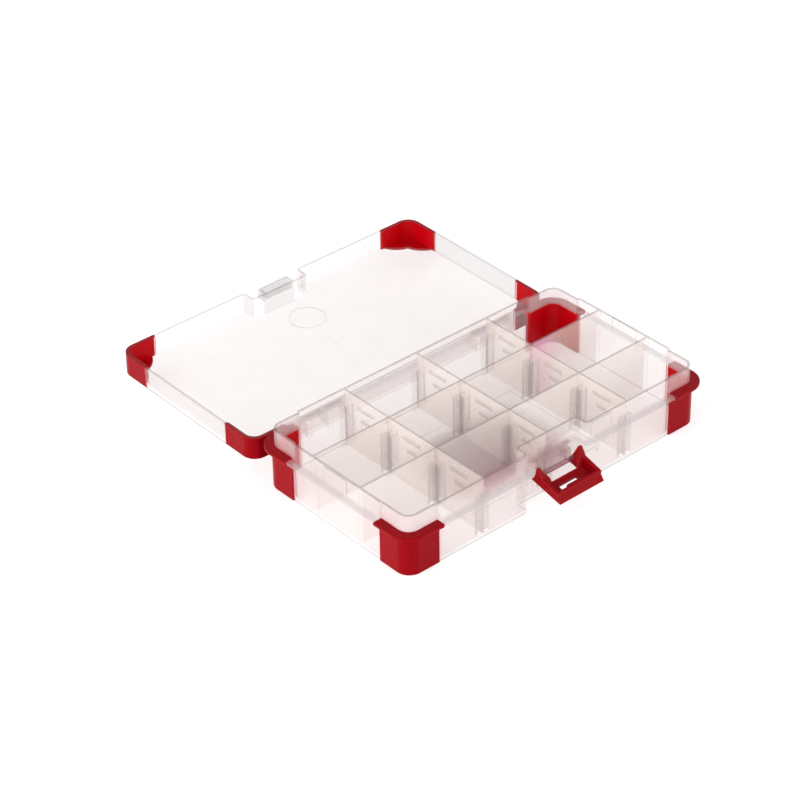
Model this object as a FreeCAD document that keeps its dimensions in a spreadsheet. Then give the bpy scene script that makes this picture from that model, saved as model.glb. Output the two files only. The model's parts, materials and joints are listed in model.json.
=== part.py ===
import FreeCAD, Part
import math
import os
import Sketcher

# Compartment box with one hinged lid, shown with the lid laid open and the latch swung down.
# Millimetres. X runs along the box, Y from the latch to the hinge, Z up.
# The origin is the middle of the underside, on the surface that the box stands on.

document = FreeCAD.newDocument("CompartmentBox")

# Driving sizes
driving_sizes = [
    # The tub
    ("case_length", 226.0),
    ("case_depth", 121.0),
    ("case_height", 39.8),
    ("wall", 1.6),
    ("floor_thickness", 1.6),
    ("corner_radius", 8.3),
    ("corner_zone", 22.6),
    ("corner_inset", 0.9),
    ("rim_step", 0.5),
    ("cell_radius", 1.0),
    # The ledge that the closed lid sits over
    ("ledge_top", 28.8),
    ("ledge_thickness", 1.6),
    ("ledge_reach", 4.5),
    # The bay in the front wall, where the latch hangs
    ("bay_half_width", 22.4),
    ("bay_depth", 8.6),
    ("bay_radius", 3.0),
    ("bay_ledge_reach", 3.0),
    # Rows, dividers and the guides that hold them
    ("row_line", 20.3),
    ("row_wall", 1.4),
    ("column_pitch", 55.7),
    ("divider_thickness", 1.3),
    ("divider_side_gap", 0.15),
    ("divider_end_gap", 0.25),
    ("guide_width", 9.0),
    ("guide_depth", 2.0),
    ("upper_mark_length", 14.0),
    ("lower_mark_length", 7.0),
    ("mark_width", 2.0),
    ("mark_height", 0.6),
    ("upper_mark_level", 33.0),
    ("lower_mark_level", 25.5),
    # Corner guards
    ("fit_gap", 0.05),
    ("guard_proud", 0.8),
    ("guard_edge_round", 0.6),
    ("flange_reach", 5.2),
    ("flange_thickness", 2.3),
    ("lid_guard_skin", 0.9),
    ("lid_guard_length", 25.0),
    ("lobe_reach", 23.0),
    ("lobe_cusp", 11.2),
    ("lobe_middle_far", 18.2),
    ("lobe_middle_near", 7.3),
    # The lid
    ("lid_overhang", 3.0),
    ("lid_wall", 1.6),
    ("lid_panel", 1.7),
    ("lid_top", 43.6),
    ("lid_seat_gap", 0.2),
    ("lid_corner_radius", 9.0),
    ("lid_bay_gap", 0.4),
    ("lid_bay_swing_gap", 1.0),
    ("ring_offset", 3.0),
    ("ring_from_front", 32.8),
    ("ring_radius", 12.0),
    ("ring_line", 0.9),
    ("ring_height", 0.5),
    # The catch on the lid
    ("catch_half_width", 11.5),
    ("catch_depth", 6.6),
    ("catch_height", 6.3),
    ("catch_wall", 1.4),
    # The hinges
    ("hinge_offset", 66.0),
    ("hinge_half_width", 17.0),
    ("hinge_out", 6.5),
    ("hinge_level", 26.8),
    ("hinge_pin_radius", 1.2),
    ("hinge_bore_gap", 0.05),
    ("knuckle_radius", 1.9),
    ("lug_thickness", 3.0),
    ("lug_gap", 0.5),
    ("lug_drop", 9.8),
    ("stop_gap", 0.3),
    ("ledge_relief", 0.8),
    ("hook_rise", 5.2),
    ("hook_mouth", 2.0),
    # The latch housing and its pivot
    ("housing_half_width", 10.4),
    ("housing_drop", 8.8),
    ("pivot_level", 21.6),
    ("pivot_radius", 1.6),
    ("pivot_bore_gap", 0.05),
    ("pivot_half_length", 15.0),
    ("pivot_end_gap", 0.25),
    # The latch, measured from its pivot while it stands closed
    ("latch_half_width", 17.2),
    ("latch_rail", 2.0),
    ("latch_face", 3.5),
    ("latch_plate", 1.9),
    ("latch_heel", 2.7),
    ("latch_tip", 21.5),
    ("latch_side_gap", 0.4),
    ("rail_height", 5.4),
    ("rail_end", 17.9),
    ("end_wall", 1.5),
    ("window_top", 6.8),
    ("ear_top", 6.9),
    ("slot_low", 10.9),
    ("slot_height", 3.1),
    ("slot_left", 9.4),
    ("slot_right", 4.9),
    ("notch_width", 3.6),
    ("notch_height", 1.6),
    ("catch_ridge_height", 1.2),
    ("catch_ridge_reach", 1.6),
    # Small marks of the moulding
    ("panel_mark_height", 0.4),
    ("panel_mark_margin", 0.7),
    ("side_mark_half", 10.0),
    ("front_mark_end", 42.0),
    ("gate_radius", 1.1),
    ("gate_height", 0.3),
    ("gate_offset", 31.3),
    ("gate_level", 17.6),
    # The label in its recess under the floor
    ("label_half_length", 53.0),
    ("label_front", 40.0),
    ("label_rear", 35.0),
    ("label_recess", 0.35),
    ("label_thickness", 0.2),
    ("label_margin", 0.5),
    # Overrun of cuts past the faces that they open
    ("overrun", 2.0),
]

# Angles, in degrees: how far the lid and the latch stand from closed
driving_angles = [
    ("lid_open_angle", 179.1),
    ("latch_open_angle", 103.2),
]

same_place = 1e-4

# Shares that shape the outlines
# The ends of the nose on a hinge lug, as shares of the lug's drop below the pin
nose_shares = (0.65, 0.35)
# The latch's ear, from its root to its heel: shares of ear_top, off the plate and along it
ear_shares = [(0.78, 0.27), (1.0, 0.07), (0.9, -0.15), (0.4, -0.11)]
# The middle of the arc from the ear to the heel, in the same shares
heel_arc_shares = (-0.06, -0.18)
# Where the slope on the inner side of an ear starts and ends, as shares of ear_top
slope_shares = (0.09, 0.8)
# The upper and the lower end of the rail's curve and of the tray behind it, as shares of window_top
rail_root_share = 0.69
tray_shares = (1.07, 0.2)
# The rounding of the lid guards' edge, as a share of their skin
skin_round_share = 0.6

sheet = document.addObject("Spreadsheet::Sheet", "Sizes")


class Size:
    """A size of the box: its number, and the sheet formula that gives it."""

    def __init__(self, number, formula):
        self.number = float(number)
        self.formula = formula

    def __add__(self, other):
        other = as_size(other)
        return Size(self.number + other.number, "(%s + %s)" % (self.formula, other.formula))

    def __sub__(self, other):
        other = as_size(other)
        return Size(self.number - other.number, "(%s - %s)" % (self.formula, other.formula))

    def __mul__(self, other):
        other = as_size(other)
        return Size(self.number * other.number, "(%s * %s)" % (self.formula, other.formula))

    def __truediv__(self, other):
        other = as_size(other)
        return Size(self.number / other.number, "(%s / %s)" % (self.formula, other.formula))

    def __neg__(self):
        return Size(-self.number, "(-1 * %s)" % self.formula)

    __radd__ = __add__
    __rmul__ = __mul__


def as_size(value):
    """A plain number as a size."""
    if isinstance(value, Size):
        return value
    return Size(value, repr(float(value)))


def fill_sheet(rows):
    """Write the rows to the sheet, each value under its alias, and return them as sizes."""
    sizes = {}
    first = len(sheet.getUsedCells()) // 2 + 1
    for number, (name, value) in enumerate(rows, start=first):
        sheet.set("A%d" % number, name)
        sheet.set("B%d" % number, str(value))
        sheet.setAlias("B%d" % number, name)
        sizes[name] = Size(value, "Sizes.%s" % name)
    return sizes


size = fill_sheet(driving_sizes)
angle = fill_sheet(driving_angles)
document.recompute()

zero = as_size(0)

# Places that several pieces share
half_length = size["case_length"] / 2
half_depth = size["case_depth"] / 2
height = size["case_height"]
wall = size["wall"]
zone = size["corner_zone"]
inset = size["corner_inset"]
ledge_top = size["ledge_top"]
ledge_under = ledge_top - size["ledge_thickness"]
bay_half = size["bay_half_width"]
bay_wall = half_depth - size["bay_depth"]
row_face = size["row_line"] + size["row_wall"] / 2
row_back = size["row_line"] - size["row_wall"] / 2
floor_top = size["floor_thickness"]
inner_length = half_length - wall
inner_depth = half_depth - wall
gap = size["fit_gap"]
overrun = size["overrun"]
pivot_y = -half_depth
pivot_z = size["pivot_level"]
hinge_y = half_depth + size["hinge_out"]
hinge_z = size["hinge_level"]
lid_half_length = half_length + size["lid_overhang"]
lid_half_depth = half_depth + size["lid_overhang"]
lid_skirt_low = ledge_top + size["lid_seat_gap"]
lid_top = size["lid_top"]
lid_skin = size["lid_guard_skin"]
lid_zone = size["lid_guard_length"]
lid_bay_half = bay_half - size["lid_wall"] - size["lid_bay_gap"]
lid_bay_wall = bay_wall + size["lid_wall"] + size["lid_bay_swing_gap"]


# Tools for sketches and features

def bind(thing, place, length):
    """Tie a property to the formula of a size."""
    thing.setExpression(place, length.formula)


def new_body(name):
    """An empty body for one piece."""
    body = document.addObject("PartDesign::Body", name)
    body.Label = name
    return body


def origin_plane(body, role):
    """One of the body's own origin planes."""
    for feature in body.Origin.OriginFeatures:
        if feature.Role == role:
            return feature
    raise ValueError("no plane " + role)


def new_sketch(body, name, role, offset):
    """A sketch on one of the body's planes, moved along the plane's normal."""
    sketch = body.newObject("Sketcher::SketchObject", name)
    sketch.AttachmentSupport = (origin_plane(body, role), "")
    sketch.MapMode = "FlatFace"
    sketch.AttachmentOffset = FreeCAD.Placement(
        FreeCAD.Vector(0, 0, offset.number), FreeCAD.Rotation())
    bind(sketch, "AttachmentOffset.Base.z", offset)
    return sketch


def pin_point(sketch, edge, end, point):
    """Hold one end of an edge at a point given in sizes."""
    for kind, coordinate in (("DistanceX", point[0]), ("DistanceY", point[1])):
        index = sketch.addConstraint(
            Sketcher.Constraint(kind, -1, 1, edge, end, coordinate.number))
        sketch.setExpression("Constraints[%d]" % index, coordinate.formula)


def vector(point):
    """The point of a sketch as a vector."""
    return FreeCAD.Vector(point[0].number, point[1].number, 0)


def draw_loop(sketch, points):
    """Draw a closed loop.

    A point is (x, y). A point (x, y, mid_x, mid_y) is the end of an arc
    that starts at the point before it and passes through the middle point.
    """
    edges = []
    for here, after in zip(points, points[1:] + points[:1]):
        start = vector(here)
        end = vector(after)
        if len(after) == 4:
            middle = vector(after[2:])
            edge = sketch.addGeometry(Part.Arc(start, middle, end), False)
            turns_left = (middle - start).cross(end - middle).z > 0
            ends = (1, 2) if turns_left else (2, 1)
        else:
            edge = sketch.addGeometry(Part.LineSegment(start, end), False)
            ends = (1, 2)
        edges.append((edge, ends))
    for number, point in enumerate(points):
        edge, ends = edges[number]
        before, ends_before = edges[number - 1]
        sketch.addConstraint(
            Sketcher.Constraint("Coincident", before, ends_before[1], edge, ends[0]))
        pin_point(sketch, edge, ends[0], point)
    for number, point in enumerate(points):
        if len(point) == 4:
            arc, ends = edges[number - 1]
            bind_arc(sketch, arc, points[number - 1], point)


def bind_arc(sketch, arc, start, end):
    """Give an arc the radius of the circle through its three points."""
    ax, ay = start[0], start[1]
    cx, cy = end[0], end[1]
    bx, by = end[2], end[3]
    first = span(bx - ax, by - ay)
    second = span(cx - bx, cy - by)
    third = span(cx - ax, cy - ay)
    cross = (bx - ax) * (cy - ay) - (by - ay) * (cx - ax)
    area = Size(abs(cross.number), "abs(%s)" % cross.formula)
    radius = first * second * third / (area * 2)
    index = sketch.addConstraint(Sketcher.Constraint("Radius", arc, radius.number))
    sketch.setExpression("Constraints[%d]" % index, radius.formula)


def span(x, y):
    """Length of the diagonal of x and y."""
    square = x * x + y * y
    return Size(square.number ** 0.5, "sqrt(%s)" % square.formula)


def draw_circle(sketch, centre, radius):
    """Draw a circle whose centre and radius follow their sizes."""
    edge = sketch.addGeometry(
        Part.Circle(vector(centre), FreeCAD.Vector(0, 0, 1), radius.number), False)
    pin_point(sketch, edge, 3, centre)
    index = sketch.addConstraint(Sketcher.Constraint("Radius", edge, radius.number))
    sketch.setExpression("Constraints[%d]" % index, radius.formula)


def around(centre, radius, degrees):
    """The point of a circle at an angle from the first axis of its plane."""
    turn = math.radians(degrees)
    return (centre[0] + radius * math.cos(turn), centre[1] + radius * math.sin(turn))


def rectangle(low_x, high_x, low_y, high_y):
    """Corners of a rectangle."""
    return [(low_x, low_y), (high_x, low_y), (high_x, high_y), (low_x, high_y)]


def feature_of(body, kind, name, sketch, length, backwards):
    """A pad or a pocket of a sketch."""
    feature = body.newObject(kind, name)
    feature.Profile = sketch
    feature.Reversed = backwards
    bind(feature, "Length", length)
    document.recompute()
    if "Invalid" in feature.State or "Error" in feature.State:
        raise ValueError(name + " fails")
    return feature


def pad(body, name, role, offset, loops, length):
    """Add the loops to the body as a solid that grows along the plane's normal."""
    sketch = new_sketch(body, name + "_outline", role, offset)
    for loop in loops:
        draw_loop(sketch, loop)
    return feature_of(body, "PartDesign::Pad", name, sketch, length, False)


def pocket(body, name, role, offset, loops, depth, along_normal=False):
    """Cut the loops out of the body, against the plane's normal or along it."""
    volume_before = body.Shape.Volume
    sketch = new_sketch(body, name + "_outline", role, offset)
    for loop in loops:
        draw_loop(sketch, loop)
    feature = feature_of(body, "PartDesign::Pocket", name, sketch, depth, along_normal)
    if not body.Shape.Volume < volume_before:
        raise ValueError(name + " cuts nothing")
    return feature


def add_rod(body, name, low_x, high_x, centre, radius):
    """Add a round rod along X."""
    sketch = new_sketch(body, name + "_outline", "YZ_Plane", low_x)
    draw_circle(sketch, centre, radius)
    return feature_of(body, "PartDesign::Pad", name, sketch, high_x - low_x, False)


def cut_bore(body, name, low_x, high_x, centre, radius):
    """Cut a round hole along X."""
    volume_before = body.Shape.Volume
    sketch = new_sketch(body, name + "_outline", "YZ_Plane", low_x)
    draw_circle(sketch, centre, radius)
    feature = feature_of(body, "PartDesign::Pocket", name, sketch, high_x - low_x, True)
    if not body.Shape.Volume < volume_before:
        raise ValueError(name + " cuts nothing")
    return feature


def upright_edges(shape, corners):
    """Names of the upright edges that stand on the given corners of the plan."""
    names = []
    for number, edge in enumerate(shape.Edges, start=1):
        box = edge.BoundBox
        if box.XLength > same_place or box.YLength > same_place:
            continue
        for x, y in corners:
            if abs(box.XMin - x.number) < same_place and abs(box.YMin - y.number) < same_place:
                names.append("Edge%d" % number)
                break
    return names


def round_edges(body, name, edges, radius):
    """Round the named edges of the body."""
    if not edges:
        raise ValueError(name + " finds no edge")
    solid = body.Tip
    feature = body.newObject("PartDesign::Fillet", name)
    feature.Base = (solid, edges)
    bind(feature, "Radius", radius)
    document.recompute()
    return feature


def both_sides(points):
    """The points, and the same points on the other side of the middle plane."""
    return points + [(-x, y) for x, y in points]


# Plans

def walled_plan(half_x, half_y, zone_x, zone_y, step, bay_x, bay_y):
    """Plan of a wall: stepped in at its four corners, with a bay in the front."""
    right = [
        (bay_x, -bay_y),
        (bay_x, -half_y),
        (half_x - zone_x, -half_y),
        (half_x - zone_x, -(half_y - step)),
        (half_x - step, -(half_y - step)),
        (half_x - step, -(half_y - zone_y)),
        (half_x, -(half_y - zone_y)),
        (half_x, half_y - zone_y),
        (half_x - step, half_y - zone_y),
        (half_x - step, half_y - step),
        (half_x - zone_x, half_y - step),
        (half_x - zone_x, half_y),
    ]
    return right + [(-x, y) for x, y in reversed(right)]


def corner_strip(sign_x, sign_y, inner_x, outer_x, inner_y, outer_y, end_x, end_y):
    """Plan of a strip that wraps a corner, with its outer corner at outer_x, outer_y."""
    points = [
        (end_x, inner_y),
        (inner_x, inner_y),
        (inner_x, end_y),
        (outer_x, end_y),
        (outer_x, outer_y),
        (end_x, outer_y),
    ]
    return [(x * sign_x, y * sign_y) for x, y in points]


def lobed_corner(sign_x, sign_y, corner_x, corner_y, reach_gap):
    """Plan of the flap on a lid's corner: two lobes that meet in a cusp."""
    reach = size["lobe_reach"] + reach_gap
    cusp = size["lobe_cusp"] + reach_gap
    far = size["lobe_middle_far"] + reach_gap
    near = size["lobe_middle_near"] + reach_gap
    points = [
        (corner_x, corner_y),
        (corner_x - reach, corner_y),
        (corner_x - cusp, corner_y - cusp, corner_x - far, corner_y - near),
        (corner_x, corner_y - reach, corner_x - near, corner_y - far),
    ]
    return [tuple(value * sign for value, sign in zip(point, (sign_x, sign_y) * 2))
            for point in points]


corner_signs = [
    ("front_left", -1, -1),
    ("front_right", 1, -1),
    ("rear_left", -1, 1),
    ("rear_right", 1, 1),
]


# The tub

def make_tub():
    """The tub: floor, walls, ledge, rows, guides, latch housing and hinge lugs in one moulding."""
    body = new_body("base_tub")
    pad(body, "block", "XY_Plane", zero, [
        walled_plan(half_length, half_depth, zone, zone, inset, bay_half, bay_wall)], height)
    cut_rows(body)
    round_tub(body)
    add_ledge(body)
    lower_corner_rims(body)
    add_guides(body)
    add_housing(body)
    add_lugs(body)
    add_tub_marks(body)
    pocket(body, "label_recess", "XY_Plane", zero, [rectangle(
        -(size["label_half_length"] + size["label_margin"]),
        size["label_half_length"] + size["label_margin"],
        -(size["label_front"] + size["label_margin"]),
        size["label_rear"] + size["label_margin"])], size["label_recess"], along_normal=True)
    return body


def cut_rows(body):
    """Hollow the block into three rows, each with the wall's thickness around it."""
    step_x = half_length - zone
    step_y = half_depth - zone
    rear = [
        (inner_length, row_face),
        (inner_length, step_y),
        (inner_length - inset, step_y),
        (inner_length - inset, inner_depth - inset),
        (step_x, inner_depth - inset),
        (step_x, inner_depth),
    ]
    rear = rear + [(-x, y) for x, y in reversed(rear)]
    front_right = [
        (bay_half + wall, -inner_depth),
        (step_x, -inner_depth),
        (step_x, -(inner_depth - inset)),
        (inner_length - inset, -(inner_depth - inset)),
        (inner_length - inset, -step_y),
        (inner_length, -step_y),
        (inner_length, -row_face),
    ]
    bay_back = (bay_half + wall, -(bay_wall - wall))
    front = [bay_back] + front_right
    front = front + [(-x, y) for x, y in reversed(front)]
    middle = rectangle(-inner_length, inner_length, -row_back, row_back)
    pocket(body, "rows", "XY_Plane", height, [rear, middle, front], height - floor_top)


def round_tub(body):
    """Round the upright edges of the wall, outside and inside."""
    outer_x = half_length - inset
    outer_y = half_depth - inset
    corners = [(outer_x * a, outer_y * b) for name, a, b in corner_signs]
    round_edges(body, "outer_corners", upright_edges(body.Shape, corners),
                size["corner_radius"] - inset)
    corners = [((outer_x - wall) * a, (outer_y - wall) * b) for name, a, b in corner_signs]
    round_edges(body, "inner_corners", upright_edges(body.Shape, corners),
                size["corner_radius"] - inset - wall)
    corners = both_sides([(bay_half, -half_depth), (bay_half + wall, -(bay_wall - wall))])
    round_edges(body, "bay_corners", upright_edges(body.Shape, corners), size["bay_radius"])
    corners = both_sides([(bay_half, -bay_wall), (bay_half + wall, -inner_depth)])
    round_edges(body, "bay_hollows", upright_edges(body.Shape, corners),
                size["bay_radius"] - wall)
    corners = both_sides([
        (inner_length, row_face), (inner_length, row_back),
        (inner_length, -row_face), (inner_length, -row_back)])
    round_edges(body, "row_corners", upright_edges(body.Shape, corners), size["cell_radius"])


def add_ledge(body):
    """The ledge around the wall between the corner guards, which follows the bay too."""
    reach = size["ledge_reach"]
    root = wall / 2
    end_x = half_length - zone
    end_y = half_depth - zone
    out_y = half_depth + reach
    bay_reach = size["bay_ledge_reach"]
    bay_out = bay_half - bay_reach
    front_right = [
        (bay_out, -(bay_wall + bay_reach)),
        (bay_out, -out_y),
        (end_x, -out_y),
        (end_x, -(half_depth - root)),
        (bay_half + root, -(half_depth - root)),
        (bay_half + root, -(bay_wall - root)),
    ]
    front = front_right + [(-x, y) for x, y in reversed(front_right)]
    sides = [rectangle((half_length - root) * side, (half_length + reach) * side, -end_y, end_y)
             for side in (-1, 1)]
    rear = rectangle(-end_x, end_x, half_depth - root, out_y)
    pad(body, "ledge", "XY_Plane", ledge_under, [front, rear] + sides, size["ledge_thickness"])
    corners = both_sides([(bay_out, -out_y)])
    round_edges(body, "ledge_corners", upright_edges(body.Shape, corners),
                size["bay_radius"] + wall)
    relief_half = size["hinge_half_width"] + size["lug_gap"]
    reliefs = []
    for side in (-1, 1):
        middle = size["hinge_offset"] * side
        reliefs.append(rectangle(middle - relief_half, middle + relief_half,
                                 out_y - size["ledge_relief"], out_y + overrun))
    pocket(body, "hinge_reliefs", "XY_Plane", ledge_top, reliefs, size["ledge_thickness"])


def lower_corner_rims(body):
    """The rim is a step lower where the corners are set in."""
    loops = []
    for name, a, b in corner_signs:
        loops.append(rectangle((half_length - zone) * a, (half_length + overrun) * a,
                               (half_depth - zone) * b, (half_depth + overrun) * b))
    pocket(body, "rim_steps", "XY_Plane", height, loops, size["rim_step"])


def guide_pairs(column, faces):
    """Plans of the two ribs of each guide: faces are (place, way out of the wall)."""
    centre = size["column_pitch"] * column
    near = size["divider_thickness"] / 2 + size["divider_side_gap"]
    far = size["guide_width"] / 2
    root = size["row_wall"] / 2
    loops = []
    for face, way in faces:
        for side in (-1, 1):
            loops.append(rectangle(centre + near * side, centre + far * side,
                                   face - root * way, face + size["guide_depth"] * way))
    return loops


def add_guides(body):
    """Ribs in pairs that take the ends of the dividers, from the floor to the ledge's level."""
    row_faces = [(row_back, -1), (-row_back, 1), (row_face, 1), (-row_face, -1), (inner_depth, -1)]
    for column in (-1, 0, 1):
        front_face = bay_wall - wall if column == 0 else inner_depth
        loops = guide_pairs(column, row_faces + [(-front_face, 1)])
        name = {-1: "left_guides", 0: "middle_guides", 1: "right_guides"}[column]
        pad(body, name, "XY_Plane", floor_top / 2, loops, ledge_top - floor_top / 2)


def add_housing(body):
    """The latch housing in the bay, hollow from below, with the pivot bar along its front."""
    half = size["housing_half_width"]
    low = ledge_top - size["housing_drop"]
    pad(body, "housing", "XY_Plane", low, [
        rectangle(-half, half, -half_depth, -(bay_wall - wall / 2))], size["housing_drop"])
    pocket(body, "housing_hollow", "XY_Plane", low, [
        rectangle(-(half - wall), half - wall, -(half_depth - wall), -bay_wall)],
        size["housing_drop"] - wall, along_normal=True)
    add_rod(body, "pivot_bar", -size["pivot_half_length"], size["pivot_half_length"],
            (pivot_y, pivot_z), size["pivot_radius"])


def lug_places(hinge):
    """The middles of the three lugs of one hinge."""
    outer = size["hinge_half_width"] - size["lug_thickness"] / 2
    return [size["hinge_offset"] * hinge + outer * place for place in (-1, 0, 1)]


def add_lugs(body):
    """Hinge lugs below the rear ledge, with a nose that stops the open lid, and the hinge pins."""
    root = half_depth - wall / 2
    nose = hinge_y + size["hinge_out"] - size["lid_overhang"] - size["stop_gap"]
    drop = size["lug_drop"]
    pin = (hinge_y, hinge_z)
    knuckle = size["knuckle_radius"]
    shape = [
        (root, hinge_z - drop),
        (nose, hinge_z - drop * nose_shares[0]),
        (nose, hinge_z - drop * nose_shares[1]),
        around(pin, knuckle, 0),
        around(pin, knuckle, 90) + around(pin, knuckle, 45),
        (root, ledge_under + size["ledge_thickness"] / 2),
    ]
    for hinge, side in ((-1, "left"), (1, "right")):
        for number, middle in enumerate(lug_places(hinge), start=1):
            pad(body, "%s_lug_%d" % (side, number), "YZ_Plane",
                middle - size["lug_thickness"] / 2, [shape], size["lug_thickness"])
        centre = size["hinge_offset"] * hinge
        add_rod(body, side + "_hinge_pin", centre - size["hinge_half_width"],
                centre + size["hinge_half_width"], pin, size["hinge_pin_radius"])


def add_tub_marks(body):
    """Shallow raised panels above the ledge, and the mark of the injection gate."""
    proud = size["panel_mark_height"]
    root = wall / 2
    loops = []
    for side in (-1, 1):
        loops.append(rectangle((half_length - root) * side, (half_length + proud) * side,
                               -size["side_mark_half"], size["side_mark_half"]))
        loops.append(rectangle((bay_half + size["bay_radius"]) * side,
                               size["front_mark_end"] * side,
                               -(half_depth + proud), -(half_depth - root)))
    pad(body, "wall_panels", "XY_Plane", ledge_top - size["ledge_thickness"] / 2, loops,
        height - size["panel_mark_margin"] - ledge_top + size["ledge_thickness"] / 2)
    sketch = new_sketch(body, "gate_outline", "XZ_Plane", half_depth - root)
    draw_circle(sketch, (size["gate_offset"], size["gate_level"]), size["gate_radius"])
    feature_of(body, "PartDesign::Pad", "gate", sketch, root + size["gate_height"], False)


# Dividers

def make_divider(name, column, low_y, high_y):
    """A loose cross wall that stands on the floor between two guides, with two grip marks."""
    body = new_body(name)
    centre = size["column_pitch"] * column
    half = size["divider_thickness"] / 2
    end = size["divider_end_gap"]
    pad(body, name + "_plate", "XY_Plane", floor_top, [
        rectangle(centre - half, centre + half, low_y + end, high_y - end)], height - floor_top)
    middle = (low_y + high_y) / 2
    marks = []
    for length, level in ((size["upper_mark_length"], size["upper_mark_level"]),
                          (size["lower_mark_length"], size["lower_mark_level"])):
        marks.append(rectangle(middle - length / 2, middle + length / 2,
                               level - size["mark_width"] / 2, level + size["mark_width"] / 2))
    pad(body, name + "_marks", "YZ_Plane", centre - half - size["mark_height"], marks,
        half + size["mark_height"])
    return body


def make_dividers():
    """Nine dividers: three columns in each of three rows."""
    columns = (("left", -1), ("centre", 0), ("right", 1))
    pieces = []
    for side, column in columns:
        front_wall = -(bay_wall - wall) if column == 0 else -inner_depth
        pieces.append(make_divider("rear_divider_" + side, column, row_face, inner_depth))
        pieces.append(make_divider("middle_divider_" + side, column, -row_back, row_back))
        pieces.append(make_divider("front_divider_" + side, column, front_wall, -row_face))
    return pieces


# Corner guards

def outer_low_edges(shape, level, out_x, out_y, radius):
    """Names of the outer edges at one level: two straight ones and the arc between them."""
    names = []
    for number, edge in enumerate(shape.Edges, start=1):
        box = edge.BoundBox
        if abs(box.ZMin - level) > same_place or abs(box.ZMax - level) > same_place:
            continue
        along_y = box.XLength < same_place and abs(abs(box.XMin) - out_x) < same_place
        along_x = box.YLength < same_place and abs(abs(box.YMin) - out_y) < same_place
        is_arc = isinstance(edge.Curve, Part.Circle)
        if along_x or along_y or (is_arc and abs(edge.Curve.Radius - radius) < same_place):
            names.append("Edge%d" % number)
    return names


def make_base_guard(name, sign_x, sign_y):
    """A corner guard of the tub: a wrap around the corner with a flange on top."""
    body = new_body(name)
    inner_x = half_length - inset + gap
    inner_y = half_depth - inset + gap
    end_x = half_length - zone + gap
    end_y = half_depth - zone + gap
    proud = size["guard_proud"]
    flange = size["flange_reach"]
    radius = size["corner_radius"]
    pad(body, name + "_wrap", "XY_Plane", zero, [corner_strip(
        sign_x, sign_y, inner_x, half_length + proud, inner_y, half_depth + proud,
        end_x, end_y)], ledge_top)
    wrap_corner = [((half_length + proud) * sign_x, (half_depth + proud) * sign_y)]
    round_edges(body, name + "_corner", upright_edges(body.Shape, wrap_corner), radius + proud)
    inner_corner = [(inner_x * sign_x, inner_y * sign_y)]
    round_edges(body, name + "_seat", upright_edges(body.Shape, inner_corner),
                radius - inset + gap)
    edges = outer_low_edges(body.Shape, 0, (half_length + proud).number,
                            (half_depth + proud).number, (radius + proud).number)
    round_edges(body, name + "_foot", edges, size["guard_edge_round"])
    add_flange(body, name, sign_x, sign_y, radius + flange)
    return body


def add_flange(body, name, sign_x, sign_y, radius):
    """The flange of a base guard, level with the ledge, rounded on the same centre."""
    reach = size["flange_reach"]
    inner_x = half_length - inset + gap
    inner_y = half_depth - inset + gap
    out_x = half_length + reach
    out_y = half_depth + reach
    end_x = half_length - zone + gap
    end_y = half_depth - zone + gap
    bend = size["corner_radius"]
    seat = bend - inset + gap
    centre = (half_length - bend, half_depth - bend)
    points = [
        (end_x, inner_y),
        (end_x, out_y),
        (centre[0], out_y),
        (out_x, centre[1]) + around(centre, radius, 45),
        (out_x, end_y),
        (inner_x, end_y),
        (inner_x, centre[1]),
        (centre[0], inner_y) + around(centre, seat, 45),
    ]
    loop = [tuple(value * sign for value, sign in zip(point, (sign_x, sign_y) * 2))
            for point in points]
    thickness = size["flange_thickness"]
    pad(body, name + "_flange", "XY_Plane", ledge_top - thickness, [loop], thickness)
    edges = outer_low_edges(body.Shape, (ledge_top - thickness).number, out_x.number,
                            out_y.number, radius.number)
    edges += outer_low_edges(body.Shape, ledge_top.number, out_x.number, out_y.number,
                             radius.number)
    round_edges(body, name + "_flange_edge", edges, size["guard_edge_round"])


def make_lid_guard(name, sign_x, sign_y):
    """A corner guard of the lid: a skin on the skirt and a lobed flap on the panel."""
    body = new_body(name)
    inner_x = lid_half_length - lid_skin + gap
    inner_y = lid_half_depth - lid_skin + gap
    end_x = lid_half_length - lid_zone + gap
    end_y = lid_half_depth - lid_zone + gap
    pad(body, name + "_skirt", "XY_Plane", lid_skirt_low, [corner_strip(
        sign_x, sign_y, inner_x, lid_half_length, inner_y, lid_half_depth, end_x, end_y)],
        lid_top - lid_skirt_low)
    inner_corner = [(inner_x * sign_x, inner_y * sign_y)]
    round_edges(body, name + "_seat", upright_edges(body.Shape, inner_corner),
                size["lid_corner_radius"] - lid_skin + gap)
    pad(body, name + "_flap", "XY_Plane", lid_top - lid_skin + gap, [
        lobed_corner(sign_x, sign_y, lid_half_length, lid_half_depth, zero)], lid_skin - gap)
    outer_corner = [(lid_half_length * sign_x, lid_half_depth * sign_y)]
    round_edges(body, name + "_corner", upright_edges(body.Shape, outer_corner),
                size["lid_corner_radius"])
    edges = outer_low_edges(body.Shape, lid_top.number, lid_half_length.number,
                            lid_half_depth.number, size["lid_corner_radius"].number)
    round_edges(body, name + "_top_edge", edges, lid_skin * skin_round_share)
    return body


# The lid, built closed

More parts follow.
